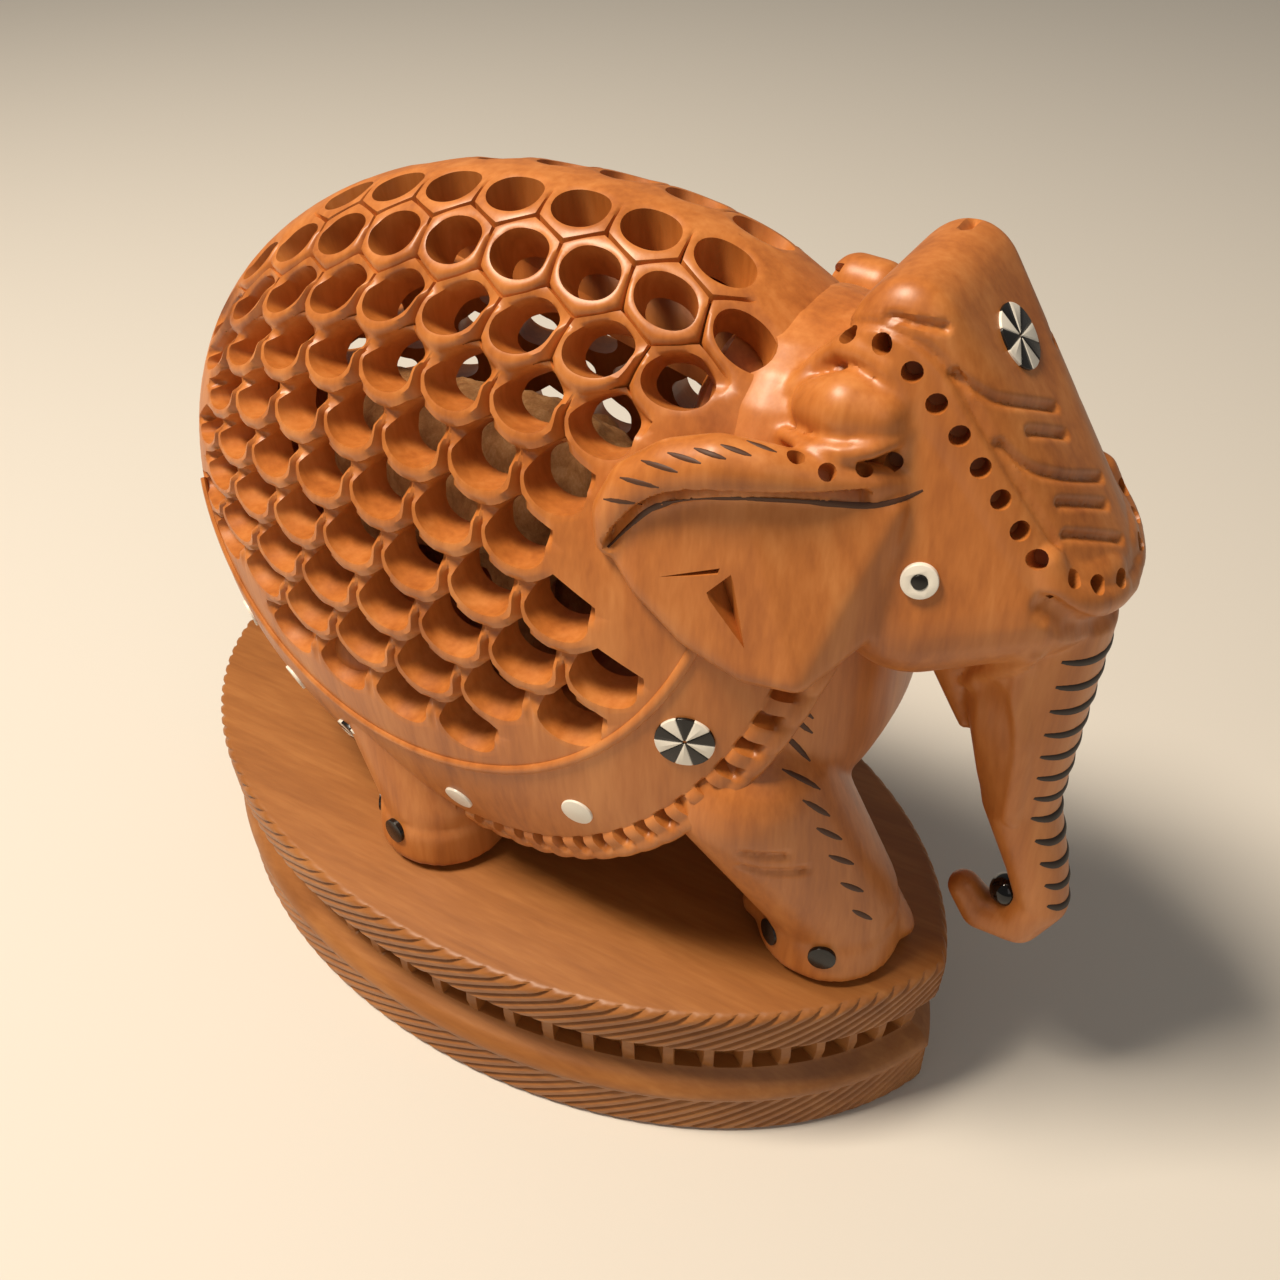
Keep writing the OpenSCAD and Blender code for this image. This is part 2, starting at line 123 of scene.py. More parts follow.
whiteInlay, _, _ = surface("white inlay", "#ebe6da", 0.32)  # bone coloured disc
blackInlay, _, _ = surface("black inlay", "#14110f", 0.25)  # ebony coloured disc
blackBead, _, _ = surface("black glass bead", "#0a0a0b", 0.06)  # polished ball
print("materials made")


# mesh helpers, working in millimetres
def emptyMesh():
    return bmesh.new()


def absorb(bm, part):
    mesh = bpy.data.meshes.new("part")
    part.to_mesh(mesh)
    part.free()
    bm.from_mesh(mesh)
    bpy.data.meshes.remove(mesh)


def ball(bm, centre, radii, around=24):
    made = bmesh.ops.create_uvsphere(bm, u_segments=around, v_segments=around // 2, radius=1.0)
    sizes = radii if isinstance(radii, (tuple, list)) else (radii,) * 3
    fit = Matrix.Translation(centre) @ Matrix.Diagonal((*sizes, 1))
    bmesh.ops.transform(bm, matrix=fit, verts=made["verts"])


def hullOf(bm, balls, around=20):
    part = emptyMesh()
    for centre, radii in balls:
        ball(part, centre, radii, around)
    bmesh.ops.delete(part, geom=part.edges[:], context="EDGES_FACES")
    made = bmesh.ops.convex_hull(part, input=part.verts[:])
    spare = [v for v in made["geom_interior"] if isinstance(v, bmesh.types.BMVert)]
    bmesh.ops.delete(part, geom=spare, context="VERTS")
    absorb(bm, part)


def chain(bm, stops, around=20):
    for k in range(len(stops) - 1):
        hullOf(bm, stops[k:k + 2], around)


def sweep(bm, path, radius, around=10, flat=1.0, ups=None):
    rings = []
    side = None
    for k, spot in enumerate(path):
        run = (path[min(k + 1, len(path) - 1)] - path[max(k - 1, 0)]).normalized()
        up = ups[k] if ups else (side if side is not None else run.orthogonal())
        up = (up - run * up.dot(run)).normalized()
        side = up
        across = run.cross(up)
        r = radius(k / (len(path) - 1)) if callable(radius) else radius
        turns = [2 * math.pi * n / around for n in range(around)]
        rings.append([bm.verts.new(spot + across * math.cos(t) * r + up * math.sin(t) * r * flat)
                      for t in turns])
    for a, b in zip(rings, rings[1:]):
        for n in range(around):
            bm.faces.new((a[n], a[(n + 1) % around], b[(n + 1) % around], b[n]))
    bm.faces.new(rings[0][::-1])
    bm.faces.new(rings[-1])


def smoothPath(stops, steps=6):
    points = [Vector(p) for p in stops]
    ends = [2 * points[0] - points[1], *points, 2 * points[-1] - points[-2]]
    made = []
    for a, b, c, d in zip(ends, ends[1:], ends[2:], ends[3:]):
        for n in range(steps):
            t = n / steps
            made.append(0.5 * (2 * b + (c - a) * t + (2 * a - 5 * b + 4 * c - d) * t * t
                               + (3 * b - 3 * c + d - a) * t ** 3))
    made.append(points[-1])
    return made


def along(stops, shares):  # points at these shares of a smooth curve's length
    path = smoothPath(stops, 16)
    runs = [0.0]
    for a, b in zip(path, path[1:]):
        runs.append(runs[-1] + (b - a).length)
    made = []
    for share in shares:
        k = min(bisect_right(runs, share * runs[-1]), len(path) - 1)
        made.append(path[k - 1].lerp(path[k], (share * runs[-1] - runs[k - 1]) / (runs[k] - runs[k - 1])))
    return made


def evenly(stops, count):
    return along(stops, [k / (count - 1) for k in range(count)])


def bake(bm, steps):
    mesh = bpy.data.meshes.new("work")
    bm.to_mesh(mesh)
    bm.free()
    work = bpy.data.objects.new("work", mesh)
    bpy.context.scene.collection.objects.link(work)
    for kind, settings in steps:
        modifier = work.modifiers.new(kind, kind)
        for key, value in settings.items():
            setattr(modifier, key, value)
    shaped = work.evaluated_get(bpy.context.evaluated_depsgraph_get())
    done = emptyMesh()
    done.from_mesh(shaped.to_mesh())
    shaped.to_mesh_clear()
    bpy.data.objects.remove(work)
    bpy.data.meshes.remove(mesh)
    return done


def carve(bm, cutters):
    mesh = bpy.data.meshes.new("cutters")
    bmesh.ops.recalc_face_normals(cutters, faces=cutters.faces[:])
    cutters.to_mesh(mesh)
    cutters.free()
    tool = bpy.data.objects.new("cutters", mesh)
    bpy.context.scene.collection.objects.link(tool)
    done = bake(bm, [("BOOLEAN", {"object": tool, "operation": "DIFFERENCE", "solver": "MANIFOLD"})])
    bpy.data.objects.remove(tool)
    bpy.data.meshes.remove(mesh)
    return done


def mirrored(paths):
    return paths + [[(x, -y, z) for x, y, z in path] for path in paths]


def press(bm, paths, wide, deep, power=2.0):  # a groove along each path, or a ridge where deep is below zero
    bm.normal_update()
    bm.verts.ensure_lookup_table()
    shell = BVHTree.FromBMesh(bm)
    tree = KDTree(len(bm.verts))
    for k, v in enumerate(bm.verts):
        tree.insert(v.co, k)
    tree.balance()
    gaps = {}
    for path in paths:
        for spot in smoothPath(path, 48):
            for _, k, gap in tree.find_range(shell.find_nearest(spot)[0], wide):
                gaps[k] = min(gap, gaps.get(k, wide))
    moves = [(k, bm.verts[k].normal * deep * (1 - (gap / wide) ** 2) ** power) for k, gap in gaps.items()]
    for k, move in moves:
        bm.verts[k].co -= move


def drill(cutters, shell, spot, radius, deep):
    at, out, _, _ = shell.find_nearest(Vector(spot))
    turned = out.to_track_quat("Z", "Y").to_matrix().to_4x4()
    proud, taper = 0.8, 0.85  # the cutter starts above the wood and narrows to its end
    bmesh.ops.create_cone(cutters, cap_ends=True, segments=16, radius1=radius * taper, radius2=radius,
                          depth=deep + proud,
                          matrix=Matrix.Translation(at + out * (proud - deep) / 2) @ turned)


def seen(shell, spot):  # where the photograph's line of sight meets the wood, mirrored for the left side
    stand = Vector(view["spot"]) * 1000
    stand.y = math.copysign(stand.y, spot.y)
    hit = shell.ray_cast(stand, (spot - stand).normalized())
    return hit[:2] if hit[0] else shell.find_nearest(spot)[:2]


# dark strips laid on the wood: burnt stripes, and painted shade in cuts
def markAndShadeStrips(name, shell, paths, wide, material, viewed=False):
    def slim(t):  # thin at both ends
        return wide * (0.3 + 0.7 * math.sin(math.pi * t) ** 0.6)

    bm = emptyMesh()
    for path in paths:
        found = [seen(shell, spot) if viewed else shell.find_nearest(spot)[:2]
                 for spot in smoothPath(path, 5)]
        sweep(bm, [at for at, _ in found], slim, 8, 0.3, [out for _, out in found])
    asPiece(name, bm, material, ["elephant_body"])


def asPiece(name, bm, material, nodes, sharp=40, second=None):
    mesh = bpy.data.meshes.new(name)
    bmesh.ops.recalc_face_normals(bm, faces=bm.faces[:])
    bm.to_mesh(mesh)
    bm.free()
    mesh.transform(Matrix.Scale(0.001, 4))
    mesh.shade_smooth()
    mesh.set_sharp_from_angle(angle=math.radians(sharp))
    mesh.materials.clear()
    mesh.materials.append(material)
    if second:
        mesh.materials.append(second)
    piece = bpy.data.objects.new(name, mesh)
    bpy.context.scene.collection.objects.link(piece)
    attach(piece, "root")
    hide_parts(*nodes)
    print(name, len(mesh.polygons), "faces")


# the skin of the barrel, the same shape as in the frame
body = {"x": 8.0, "z": 75.7, "halfWide": 32.0, "rise": 57.4, "rear": 68.0, "front": 54.0, "drop": 44.7}
cloth = {"x": -7.0, "z": 105.7, "hemLong": 66.0, "hemDrop": 68.0, "fieldLong": 50.5, "fieldDrop": 46.8}
lattice = {"pitch": 9.35, "rowPitch": 8.2, "wall": 5.5, "holeWide": 7.8, "rows": 10, "samples": 7}


def mix(a, b, t):
    return a + (b - a) * t


def smoothStep(v, low, high):
    t = min(1.0, max(0.0, (v - low) / (high - low)))
    return t * t * (3 - 2 * t)


def section(x, off=0.0):
    if x < body["x"]:
        return math.sqrt(max(0.0, 1 - ((body["x"] - x) / (body["rear"] - off)) ** 2))
    return max(0.0, 1 - ((x - body["x"]) / (body["front"] - off)) ** 2.6) ** (1 / 2.6)


def signPower(v, e):
    return math.copysign(abs(v) ** e, v)


def barrelPoint(x, turn, off=0.0, drop=None):
    s = max(0.03, section(x, off))
    upper = math.sin(turn) > 0
    e = 1.0 if upper else 0.72
    tall = body["rise"] - off if upper else (drop or body["drop"])
    return Vector((x, (body["halfWide"] - off) * s * signPower(math.cos(turn), e),
                   body["z"] + tall * s * signPower(math.sin(turn), e)))


turns = [math.radians(90 - 0.25 * k) for k in range(717)]
arcs = [0.0]
for a, b in zip(turns, turns[1:]):
    arcs.append(arcs[-1] + (barrelPoint(body["x"], b) - barrelPoint(body["x"], a)).length)
levelArc = arcs[360]


def turnAt(arc):
    arc = min(max(arc, 0.0), arcs[-1] - 0.001)
    k = bisect_right(arcs, arc) - 1
    t = (arc - arcs[k]) / (arcs[k + 1] - arcs[k])
    return turns[k] + (turns[k + 1] - turns[k]) * t


def skin(u, arc, depth=0.0):
    spot = barrelPoint(u, turnAt(arc))
    if depth:
        e = 0.3
        low = max(arc, e)
        along = barrelPoint(u + e, turnAt(low)) - barrelPoint(u - e, turnAt(low))
        down = barrelPoint(u, turnAt(low + e)) - barrelPoint(u, turnAt(low - e))
        spot = spot - along.cross(down).normalized() * depth
    spot.y = max(spot.y, 0.0)
    return spot


def flankY(x, z):
    s = max(0.05, section(x))
    upper = z > body["z"]
    p = 2 if upper else 2 / 0.72
    q = abs(z - body["z"]) / ((body["rise"] if upper else body["drop"]) * s)
    return body["halfWide"] * s * max(0.0, 1 - q ** p) ** (1 / p)


def flank(x, z, lift=0.0):
    e = 0.4
    lean = flankY(x - e, z) - flankY(x + e, z)
    out = Vector((lean, 2 * e, flankY(x, z - e) - flankY(x, z + e))).normalized()
    return Vector((x, flankY(x, z), z)) + out * lift, out


def level(long, drop, x):
    return cloth["z"] - drop * math.sqrt(max(0.0, 1 - ((x - cloth["x"]) / long) ** 2))


# holes of the lattice: a counts along a row, m counts rows down from the spine
def pitchAt(m):
    return lattice["pitch"] + 0.25 * m


def leanAt(m):
    return 0.5 * lattice["pitch"] * min(1.0, max(0.0, (3 - m) / 1.5))


def place(a, m):
    u = body["x"] - 20.8 + a * pitchAt(m) + leanAt(m)
    s = max(0.3, section(u))
    return u, levelArc - (levelArc - (0.72 + m) * lattice["rowPitch"]) * s ** -0.12


def unplace(u, arc):
    s = max(0.3, section(u))
    m = (levelArc - (levelArc - arc) * s ** 0.12) / lattice["rowPitch"] - 0.72
    return (u - body["x"] + 20.8 - leanAt(m)) / pitchAt(m), m


headX, headZ = 62.0, 104.0


def fieldFront(z):
    if z > headZ + 7:
        return headX - 31 + (z - headZ - 7)
    return headX - 35 if z > headZ - 13 else headX - 23


def isHole(a, m):
    u, arc = place(a, m)
    spot = skin(u, arc)
    s = section(u)
    wide = lattice["holeWide"]
    return (spot.z > level(cloth["fieldLong"], cloth["fieldDrop"], u) + 0.35 * wide
            and abs(u - cloth["x"]) < cloth["fieldLong"] - 0.26 * wide and s > 0.6
            and u < fieldFront(spot.z) and arc * s > 0.44 * wide * s ** 0.75 + 0.6)


cells = set()
for m in range(lattice["rows"]):
    for i in range(-5, 7):
        a2 = 2 * i + (1 if m % 2 == 0 else 0)
        if isHole(a2 / 2, m):
            cells.add((a2, m))
corners = [(0, -2 / 3), (0.5, -1 / 3), (0.5, 1 / 3), (0, 2 / 3), (-0.5, 1 / 3), (-0.5, -1 / 3)]
beyond = [(1, -1), (2, 0), (1, 1), (-1, 1), (-2, 0), (-1, -1)]  # neighbour across each side, in half steps
print(len(cells), "holes a side")


def cellRim(cell):
    a, m = cell[0] / 2, cell[1]
    near = [(cell[0] + d[0], cell[1] + d[1]) in cells for d in beyond]
    peaks = []
    for k in range(6):
        scale = smoothStep(m + corners[k][1], 0, 4)
        peaks.append(mix(1.4, 2.6 if k % 2 == 0 else 0.8, scale) if near[k] and near[k - 1] else 0.0)
    made = []
    for k in range(6):
        c, d = corners[k], corners[(k + 1) % 6]
        first, last = peaks[k], peaks[(k + 1) % 6]
        for n in range(lattice["samples"]):
            t = n / lattice["samples"]
            spot = (mix(c[0], d[0], t), mix(c[1], d[1], t))
            if not near[k]:
                deep = first if n == 0 else 0.0
            elif k in (1, 4):  # upright wall between two holes of a row
                deep = mix(first, last, t ** 1.3) if k == 1 else mix(last, first, (1 - t) ** 1.3)
            else:  # lip of a cup
                scale = smoothStep(m + spot[1], 0, 4)
                spot = (spot[0], spot[1] + 0.07 * scale * math.sin(math.pi * t))
                flat = mix(1.2, 0.4, scale)
                deep = mix(flat, first, smoothStep(1 - t / 0.3, 0, 1))
                deep = mix(deep, last, smoothStep(1 - (1 - t) / 0.3, 0, 1))
            made.append((spot, deep))
    return a, m, made


def holeReach(da, dm, scale):
    size = math.hypot(da, dm)
    ca, cm = abs(da) / size, dm / size
    tall, power = (mix(0.41, 0.46, scale), 2.3) if cm < 0 else (mix(0.4, 0.43, scale), 2.1)
    reach = ((ca / 0.4) ** power + (abs(cm) / tall) ** power) ** (-1 / power)
    return mix(reach, 0.61, scale * max(0.0, -cm) ** 14) / size  # a slit at the top between two cups


def addCell(bm, cell):
    a, m, rim = cellRim(cell)
    rings = [[] for _ in range(9)]
    for (da, dm), deep in rim:
        scale = smoothStep(m + dm, 0, 4)  # flat rims along the back, cups like scales down the flank
        reach = holeReach(da, dm, scale)
        upper = 1 - smoothStep(0.5 + 0.5 * dm / math.hypot(da, dm), 0.18, 0.5)
        gap = 1 - reach
        edge = mix(0.12, mix(0.25, max(2.4, deep), scale), upper)
        shrink = [mix(mix(flat, cup, scale), top, upper) for flat, cup, top in
                  ((0.98, 0.98, 1.0), (0.95, 0.95, 0.98), (0.92, 0.91, 0.96), (0.9, 0.86, 0.94))]
        inner = [mix(edge + low, max(edge + 0.2, high), upper) for low, high in
                 ((0.7, 3.1), (2.1, 3.7), (3.8, 4.6))]
        steps = [
            (1.0, 0.0, deep),
            (1 - gap * mix(mix(0.2, 0.35, scale), mix(0.2, 0.14, scale), upper), 0.0,
             mix(deep * mix(0.12, 0.45, scale), mix(deep * 0.12, max(1.3, deep), scale), upper)),
            (1 - gap * 0.6, 0.0, mix(0.0, mix(0.05, max(2.0, deep), scale), upper)),
            (reach, 0.0, edge),
            (reach * shrink[0], 0.0, inner[0]),
            (reach * shrink[1], -0.02 * scale, inner[1]),
            (reach * shrink[2], -0.05 * scale, inner[2]),
            (reach * shrink[3], -0.08 * scale, lattice["wall"]),
            (1.0, 0.0, lattice["wall"])]
        for ring, (grow, rise, depth) in zip(rings, steps):
            u, arc = place(a + da * grow, m + dm * grow + rise)
            ring.append(bm.verts.new(skin(u, arc, depth)))
    count = len(rim)
    for k, (p, q) in enumerate(zip(rings, rings[1:])):
        for n in range(count):
            face = bm.faces.new((p[n], p[(n + 1) % count], q[(n + 1) % count], q[n]))
            # painted shade: the deeper walls of the lower holes take the dark hollow material
            face.material_index = 1 if 5 <= k <= 6 and m > 1 else 0


def insideCell(u, arc, grow):
    a, m = unplace(u, arc)
    for row in (math.floor(m), math.floor(m) + 1):
        shift = 0.5 if row % 2 == 0 else 0.0
        column = round(a - shift) + shift
        da, dm = abs(a - column), abs(m - row)
        if (round(2 * column), row) in cells and da < 0.5 * grow and dm < (2 / 3 - 2 / 3 * da / grow) * grow:
            return True
    return False


# lattice saddle cloth
hem = {"width": 5.0, "notchPitch": 4.6, "notchDeep": 2.0, "rear": -137, "front": -13, "step": 0.3}
uRange = [-58.0 + 116.0 * k / 72 for k in range(73)]


def hemArc(u):
    s = max(0.05, section(u))
    z = level(cloth["hemLong"] - hem["width"], cloth["hemDrop"] - hem["width"], u)
    if z > body["z"]:
        turn = math.asin(min(1.0, (z - body["z"]) / (body["rise"] * s)))
    else:
        turn = -math.asin(min(0.999, ((body["z"] - z) / (body["drop"] * s)) ** (1 / 0.72)))
    k = (math.radians(90) - turn) / math.radians(0.25)
    n = min(int(k), len(arcs) - 2)
    return arcs[n] + (arcs[n + 1] - arcs[n]) * (k - n)


def plainSkin(bm):
    points, edges = [], []
    outer = [(u, 0.0) for u in uRange] + [(u, hemArc(u)) for u in reversed(uRange)]
    points += outer
    edges += [(k, (k + 1) % len(outer)) for k in range(len(outer))]
    for cell in sorted(cells):
        a, m, rim = cellRim(cell)
        first = len(points)
        points += [place(a + da, m + dm) for (da, dm), _ in rim]
        edges += [(first + k, first + (k + 1) % len(rim)) for k in range(len(rim))]
    step = 2.6
    for i in range(45):
        for j in range(60):
            u, arc = -57.0 + i * step + (j % 2) * step / 2, 1.5 + j * step * 0.866
            if u < 57 and arc < hemArc(u) - 1.5 and not insideCell(u, arc, 1.16):
                points.append((u, arc))
    found = delaunay_2d_cdt([Vector(p) for p in points], edges, [], 0, 0.002)
    spots, faces = found[0], found[2]
    outerSkin = [bm.verts.new(skin(p.x, p.y)) for p in spots]
    innerSkin = [bm.verts.new(skin(p.x, p.y, lattice["wall"])) for p in spots]
    for face in faces:
        u = sum(spots[k].x for k in face) / len(face)
        arc = sum(spots[k].y for k in face) / len(face)
        if arc < hemArc(u) and not insideCell(u, arc, 1.0):
            bm.faces.new([outerSkin[k] for k in face])
            bm.faces.new([innerSkin[k] for k in reversed(face)])


def hemStrip(bm):
    spots = []
    turn = math.radians(hem["rear"])
    while turn < math.radians(hem["front"]):
        spots.append(turn)
        turn += hem["step"] / math.hypot(cloth["hemLong"] * math.sin(turn), cloth["hemDrop"] * math.cos(turn))
    # (distance up from the edge, lift over the skin, share of the notch depth)
    profile = [(5.05, 0.0, 0), (4.75, 0.0, 0.1), (4.6, 0.25, 0.9), (4.2, 0.6, 1.2), (3.5, 0.75, 1.3),
               (2.9, 0.75, 1.3), (2.5, 0.7, 1.2), (2.3, 0.7, 0.5), (1.9, 0.85, 0), (1.3, 1.1, 0),
               (0.7, 1.05, 0), (0.25, 0.75, 0), (0.0, 0.1, 0), (0.0, -1.5, 0), (0.3, -4.5, 0)]
    rows = []
    run = 0.0
    last = None
    for turn in spots:
        edge = Vector((cloth["hemLong"] * math.cos(turn), cloth["hemDrop"] * math.sin(turn)))
        run += (edge - last).length if last is not None else 0.0
        last = edge
        beat = abs((run / hem["notchPitch"]) % 1.0 - 0.5) * 2
        notch = smoothStep(beat, 0.5, 0.68)
        dome = 0.3 * beat ** 2
        row = []
        for up, lift, share in profile:
            x = cloth["x"] + (cloth["hemLong"] - up) * math.cos(turn)
            z = cloth["z"] + (cloth["hemDrop"] - up) * math.sin(turn)
            raised = lift * (1 - dome) if 0 < up < 4.7 else lift
            row.append(bm.verts.new(flank(x, z, raised - share * notch * hem["notchDeep"])[0]))
        rows.append(row)
    for p, q in zip(rows, rows[1:]):
        for k in range(len(profile) - 1):
            bm.faces.new((p[k], p[k + 1], q[k + 1], q[k]))


def borderRidge(bm):
    path, ups = [], []
    for k in range(140):
        turn = math.radians(-148 + 138 * k / 139)
        x = cloth["x"] + (cloth["fieldLong"] + 1.2) * math.cos(turn)
        z = cloth["z"] + (cloth["fieldDrop"] + 1.2) * math.sin(turn)
        spot, out = flank(x, z, 0.05)
        path.append(spot)
        ups.append(out)
    sweep(bm, path, 0.75, 8, 0.7, ups)


bm = emptyMesh()
for cell in sorted(cells):
    addCell(bm, cell)
plainSkin(bm)
bmesh.ops.remove_doubles(bm, verts=bm.verts[:], dist=0.02)
hemStrip(bm)
borderRidge(bm)
bmesh.ops.recalc_face_normals(bm, faces=bm.faces[:])
bmesh.ops.mirror(bm, geom=bm.verts[:] + bm.edges[:] + bm.faces[:], matrix=Matrix.Identity(4),
                 merge_dist=0.02, axis="Y")
asPiece("latticeSaddleCloth", bm, carvedWood, ["elephant_body"], 55, hollowShadeWood)

# belly, chest and legs
belly = {"off": 2.0, "drop": 30.0, "floor": 54.5, "chest": 46.0, "rump": (-40, 0, 64), "rearOff": 0.5,
         "rearDrop": 44.2, "rear": -52.0}
leg = {"footR": 10.75, "thighR": 12.0, "top": 64.0, "ground": 30.0, "hindTop": 59.0, "hindR": 9.5}


def barrelSolid(off, drop, spot, facing):  # what lies behind a plane through the spot
    part = emptyMesh()
    rings = []
    for k in range(-16, 17):
        x = body["x"] + math.sin(math.pi / 2 * k / 16) * ((body["rear"] if k < 0 else body["front"]) - off)
        rings.append([part.verts.new(barrelPoint(x, -2 * math.pi * n / 64, off, drop)) for n in range(64)])
    for p, q in zip(rings, rings[1:]):
        for n in range(64):
            part.faces.new((p[n], p[(n + 1) % 64], q[(n + 1) % 64], q[n]))
    part.faces.new(rings[0][::-1])
    part.faces.new(rings[-1])
    bmesh.ops.bisect_plane(part, geom=part.verts[:] + part.edges[:] + part.faces[:],
                           plane_co=spot, plane_no=facing, clear_outer=True)
    bmesh.ops.holes_fill(part, edges=part.edges[:], sides=0)
    return part


bm = emptyMesh()
absorb(bm, barrelSolid(belly["off"], belly["drop"], (0, 0, belly["floor"]), (0, 0, 1)))
absorb(bm, barrelSolid(belly["off"], belly["drop"], (belly["chest"], 0, 0), (-1, 0, 0)))
absorb(bm, barrelSolid(belly["off"], belly["drop"], belly["rump"], (0.5, 0, 0.87)))
absorb(bm, barrelSolid(belly["rearOff"], belly["rearDrop"], (belly["rear"], 0, 0), (1, 0, 0)))
# (foot, top) of each leg: right front, left front, right hind, left hind
stance = [((57, -9.5), (46, -16.6)), ((36, 16), (37, 16)), ((-6, -20.5), (-16, -16)),
          ((-34, 16.6), (-31, 10))]
for k, (foot, top) in enumerate(stance):
    r = leg["footR"]
    ankle = leg["ground"] + 0.85 * r
    hullOf(bm, [(Vector((*foot, leg["ground"] + 1.5)), (r, r, 1.5)),
                (Vector((*foot, ankle - 2)), (0.95 * r, 0.95 * r, 2))], 32)
    tucked = k == 3  # the left hind leg stays under the cloth
    high = leg["hindTop"] if tucked else leg["top"]
    thigh = leg["hindR"] if tucked else leg["thighR"]
    hullOf(bm, [(Vector((*foot, ankle)), 0.9 * r), (Vector((*top, high)), thigh)], 28)
hullOf(bm, [(Vector((66.2, -4.8, 32.6)), 2.6), (Vector((59, -7, 37)), 7)])  # toe of the stepping foot
hullOf(bm, [(Vector((46.6, -11.5, 32.8)), 2.8), (Vector((53, -10, 37)), 7)])  # its heel
bm = bake(bm, [("REMESH", {"mode": "VOXEL", "voxel_size": 0.7}),
               ("SMOOTH", {"iterations": 6, "factor": 0.5})])
bmesh.ops.bisect_plane(bm, geom=bm.verts[:] + bm.edges[:] + bm.faces[:], plane_co=(0, 0, leg["ground"]),
                       plane_no=(0, 0, -1), clear_outer=True)
# painted shade: dark strips for the knife strokes down the front of the stepping leg, closer together at the
# top
legMarks = {"count": 9, "crowd": 1.3,
            "upper": [(52.7, -21.8, 84), (52.5, -22, 74), (57, -21, 65), (62.6, -16.8, 46)],
            "lower": [(54.2, -17.3, 78.5), (57, -18.7, 67), (61.3, -15.9, 54.5), (64.8, -14.2, 42.5)]}
shares = [(k / (legMarks["count"] - 1)) ** legMarks["crowd"] for k in range(legMarks["count"])]
legStrokes = list(zip(along(legMarks["upper"], shares), along(legMarks["lower"], shares)))


def legAxis(k, z):
    t = (z - leg["ground"] - 9) / (leg["top"] - leg["ground"] - 9)
    (a, b), (c, d) = stance[k]
    return mix(a, c, t), mix(b, d, t)


def otherLeg(spot):  # the same stroke seen on the left front leg
    (a, b), (c, d) = legAxis(0, spot[2]), legAxis(1, spot[2])
    return spot[0] - a + c, d - (spot[1] - b), spot[2]


kneeFolds = [[(50.4, -26.9, 60.7), (54.9, -24, 60.1)], [(50, -26.1, 57.1), (57.1, -22, 56.6)]]
press(bm, kneeFolds, 1.0, 0.6)
shell = BVHTree.FromBMesh(bm)
markAndShadeStrips("legStrokes", shell, [list(pair) for pair in legStrokes]
         + [[otherLeg(a), otherLeg(b)] for a, b in legStrokes], 0.4, cutShadeMark)
asPiece("bellyAndLegs", bm, carvedWood, ["elephant_body"])

# head, ears and trunk
head = {"trunkR": 8.6, "tipR": 2.7, "voxel": 0.45}


def atHead(x, y, z):
    return Vector((headX + x, y, headZ + z))


bm = emptyMesh()
crown = [(atHead(-4.5, side * 8.8, 20.2), (7, 4.7, 9.1)) for side in (-1, 1)]
cheeks = [(atHead(0, side * 9, -8), 10) for side in (-1, 1)]
hullOf(bm, crown + cheeks + [(atHead(9.3, 0, -5.1), (12.9, 15.4, 11.1))], 32)
hullOf(bm, [(atHead(2, 0, -10), 9), (atHead(4, 0, -18), 6)])  # jaw
hullOf(bm, [(atHead(4, 0, -18), 5.5), (atHead(7, 0, -33.6), 0.8)])  # pointed lower lip
hullOf(bm, [(atHead(-18, 0, 2), (14, 20.2, 18.9)), (atHead(-4, 0, 2), (12, 14.5, 17))], 28)  # neck
# (forward, up, radius) down the middle of the trunk
trunkPath = [(13.5, -8, head["trunkR"]), (14.2, -27, head["trunkR"] * 0.86),
             (16.1, -42, head["trunkR"] * 0.61), (20.3, -53, head["trunkR"] * 0.5),
             (22.4, -60, head["trunkR"] * 0.43), (20, -66, head["tipR"] * 1.3),
             (14.6, -67, head["tipR"] * 1.1), (11.6, -63.5, head["tipR"] * 0.9)]
chain(bm, [(atHead(x, 0, z), r) for x, z, r in trunkPath], 28)
